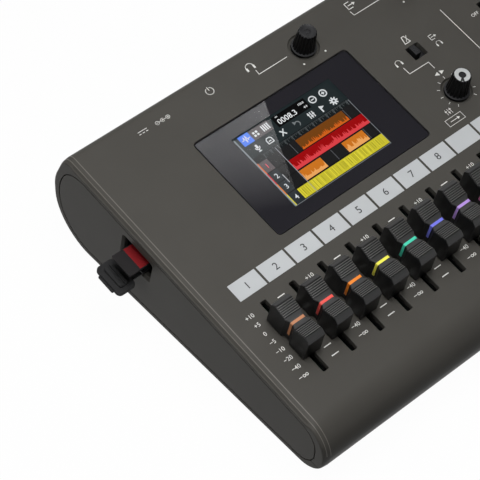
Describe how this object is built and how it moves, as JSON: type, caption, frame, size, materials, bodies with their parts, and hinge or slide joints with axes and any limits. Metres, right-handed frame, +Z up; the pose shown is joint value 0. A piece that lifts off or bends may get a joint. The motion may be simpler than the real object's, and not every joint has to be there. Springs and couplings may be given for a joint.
{
  "type": "multitrack recorder",
  "caption": "Desktop multitrack recorder: a wedge-shaped case with a row of faders, a colour screen, knobs, slide switches, transport keys, rear sockets and a card slot in its left end.",
  "frame": {"origin": "under the middle of the whole part, on the surface that its feet stand on", "axes": "+X to the right along the fader row, +Y towards the rear sockets, +Z up"},
  "size_m": [0.2704, 0.1552, 0.0577],
  "materials": {
    "case": "fine-grained matte, warm dark grey",
    "fader_cap": "satin black",
    "knob": "satin black",
    "key": "matte dark grey",
    "glass": "clear gloss over a black printed border",
    "display": "gloss",
    "rubber": "matte black",
    "socket": "black, half gloss",
    "card": "black with one red edge",
    "metal": "plain pressed steel",
    "board": "green solder mask",
    "cell": "plain wrapped can"
  },
  "bodies": {
    "root": {"top_case": "case", "bottom_case": "case", "left_end_cap": "case", "right_end_cap": "case", "foot_front_left": "rubber", "foot_front_right": "rubber", "foot_back_left": "rubber", "foot_back_right": "rubber", "screen_glass": "glass", "display_module": "display", "fader_board": "board", "phones_pot": "metal", "output_pot": "metal", "balance_pot": "metal", "gain_1_pot": "metal", "gain_2_pot": "metal", "key_mat": "rubber", "control_board": "board", "knob_board": "board", "main_board": "board", "card_socket": "metal", "cover_anchor": "rubber", "phones_socket": "socket", "output_left_socket": "socket", "output_right_socket": "socket", "input_1_socket": "socket", "input_2_socket": "socket", "power_inlet": "metal", "cell_1": "cell", "cell_2": "cell", "cell_3": "cell", "cell_4": "cell"},
    "fader_1": {"fader_1": "fader_cap"},
    "fader_2": {"fader_2": "fader_cap"},
    "fader_3": {"fader_3": "fader_cap"},
    "fader_4": {"fader_4": "fader_cap"},
    "fader_5": {"fader_5": "fader_cap"},
    "fader_6": {"fader_6": "fader_cap"},
    "fader_7": {"fader_7": "fader_cap"},
    "fader_8": {"fader_8": "fader_cap"},
    "fader_9": {"fader_9": "fader_cap"},
    "fader_10": {"fader_10": "fader_cap"},
    "phones_knob": {"phones_knob": "knob"},
    "output_knob": {"output_knob": "knob"},
    "balance_knob": {"balance_knob": "knob"},
    "gain_1_knob": {"gain_1_knob": "knob"},
    "gain_2_knob": {"gain_2_knob": "knob"},
    "click_switch": {"click_switch": "knob"},
    "instrument_switch": {"instrument_switch": "knob"},
    "phantom_switch": {"phantom_switch": "knob"},
    "return_key": {"return_key": "key"},
    "rewind_key": {"rewind_key": "key"},
    "forward_key": {"forward_key": "key"},
    "stop_key": {"stop_key": "key"},
    "play_key": {"play_key": "key"},
    "record_key": {"record_key": "key"},
    "power_switch": {"power_switch": "knob"},
    "memory_card": {"memory_card": "card"},
    "card_slot_cover": {"card_slot_cover": "rubber"},
    "battery_door": {"battery_door": "case"}
  },
  "joints": [
    {"name": "fader_1_slide", "type": "slide", "parent": "root", "child": "fader_1", "axis": [0, 0.9889, 0.1483], "range_m": [-0.0154, 0.0146]},
    {"name": "fader_2_slide", "type": "slide", "parent": "root", "child": "fader_2", "axis": [0, 0.9889, 0.1483], "range_m": [-0.0154, 0.0146]},
    {"name": "fader_3_slide", "type": "slide", "parent": "root", "child": "fader_3", "axis": [0, 0.9889, 0.1483], "range_m": [-0.0154, 0.0146]},
    {"name": "fader_4_slide", "type": "slide", "parent": "root", "child": "fader_4", "axis": [0, 0.9889, 0.1483], "range_m": [-0.0154, 0.0146]},
    {"name": "fader_5_slide", "type": "slide", "parent": "root", "child": "fader_5", "axis": [0, 0.9889, 0.1483], "range_m": [-0.0154, 0.0146]},
    {"name": "fader_6_slide", "type": "slide", "parent": "root", "child": "fader_6", "axis": [0, 0.9889, 0.1483], "range_m": [-0.0154, 0.0146]},
    {"name": "fader_7_slide", "type": "slide", "parent": "root", "child": "fader_7", "axis": [0, 0.9889, 0.1483], "range_m": [-0.0154, 0.0146]},
    {"name": "fader_8_slide", "type": "slide", "parent": "root", "child": "fader_8", "axis": [0, 0.9889, 0.1483], "range_m": [-0.0154, 0.0146]},
    {"name": "fader_9_slide", "type": "slide", "parent": "root", "child": "fader_9", "axis": [0, 0.9889, 0.1483], "range_m": [-0.0154, 0.0146]},
    {"name": "fader_10_slide", "type": "slide", "parent": "root", "child": "fader_10", "axis": [0, 0.9889, 0.1483], "range_m": [-0.0154, 0.0146]},
    {"name": "phones_knob_turn", "type": "hinge", "parent": "root", "child": "phones_knob", "pos_m": [-0.01068, 0.05712, 0.04701], "axis": [0, 0.1483, -0.9889], "range_deg": [0, 280]},
    {"name": "output_knob_turn", "type": "hinge", "parent": "root", "child": "output_knob", "pos_m": [0.04392, 0.05712, 0.04701], "axis": [0, 0.1483, -0.9889], "range_deg": [0, 280]},
    {"name": "balance_knob_turn", "type": "hinge", "parent": "root", "child": "balance_knob", "pos_m": [0.02552, 0.00619, 0.03937], "axis": [0, 0.1483, -0.9889], "range_deg": [0, 280]},
    {"name": "gain_1_knob_turn", "type": "hinge", "parent": "root", "child": "gain_1_knob", "pos_m": [0.06922, 0.05712, 0.04701], "axis": [0, 0.1483, -0.9889], "range_deg": [0, 280]},
    {"name": "gain_2_knob_turn", "type": "hinge", "parent": "root", "child": "gain_2_knob", "pos_m": [0.10222, 0.05712, 0.04701], "axis": [0, 0.1483, -0.9889], "range_deg": [0, 280]},
    {"name": "click_switch_slide", "type": "slide", "parent": "root", "child": "click_switch", "axis": [1, 0, 0], "range_m": [0, 0.003]},
    {"name": "instrument_switch_slide", "type": "slide", "parent": "root", "child": "instrument_switch", "axis": [1, 0, 0], "range_m": [0, 0.003]},
    {"name": "phantom_switch_slide", "type": "slide", "parent": "root", "child": "phantom_switch", "axis": [1, 0, 0], "range_m": [0, 0.003]},
    {"name": "return_key_press", "type": "slide", "parent": "root", "child": "return_key", "axis": [0, 0.1483, -0.9889], "range_m": [0, 0.0006], "stiffness_N_per_m": 600, "springref_m": -0.001},
    {"name": "rewind_key_press", "type": "slide", "parent": "root", "child": "rewind_key", "axis": [0, 0.1483, -0.9889], "range_m": [0, 0.0006], "stiffness_N_per_m": 600, "springref_m": -0.001},
    {"name": "forward_key_press", "type": "slide", "parent": "root", "child": "forward_key", "axis": [0, 0.1483, -0.9889], "range_m": [0, 0.0006], "stiffness_N_per_m": 600, "springref_m": -0.001},
    {"name": "stop_key_press", "type": "slide", "parent": "root", "child": "stop_key", "axis": [0, 0.1483, -0.9889], "range_m": [0, 0.0006], "stiffness_N_per_m": 600, "springref_m": -0.001},
    {"name": "play_key_press", "type": "slide", "parent": "root", "child": "play_key", "axis": [0, 0.1483, -0.9889], "range_m": [0, 0.0006], "stiffness_N_per_m": 600, "springref_m": -0.001},
    {"name": "record_key_press", "type": "slide", "parent": "root", "child": "record_key", "axis": [0, 0.1483, -0.9889], "range_m": [0, 0.0006], "stiffness_N_per_m": 600, "springref_m": -0.001},
    {"name": "power_switch_slide", "type": "slide", "parent": "root", "child": "power_switch", "axis": [1, 0, 0], "range_m": [0, 0.004]},
    {"name": "memory_card_slide", "type": "slide", "parent": "root", "child": "memory_card", "axis": [1, 0, 0], "range_m": [-0.008, 0.009]},
    {"name": "card_slot_cover_bend", "type": "hinge", "parent": "root", "child": "card_slot_cover", "pos_m": [-0.12133, 0.0284, 0.02481], "axis": [0, 0.9889, 0.1483], "range_deg": [-75, 20], "stiffness_Nm_per_rad": 0.002},
    {"name": "battery_door_hinge", "type": "hinge", "parent": "root", "child": "battery_door", "pos_m": [0.00473, -0.0123, 0.0035], "axis": [-1, 0, 0], "range_deg": [0, 75]}
  ]
}
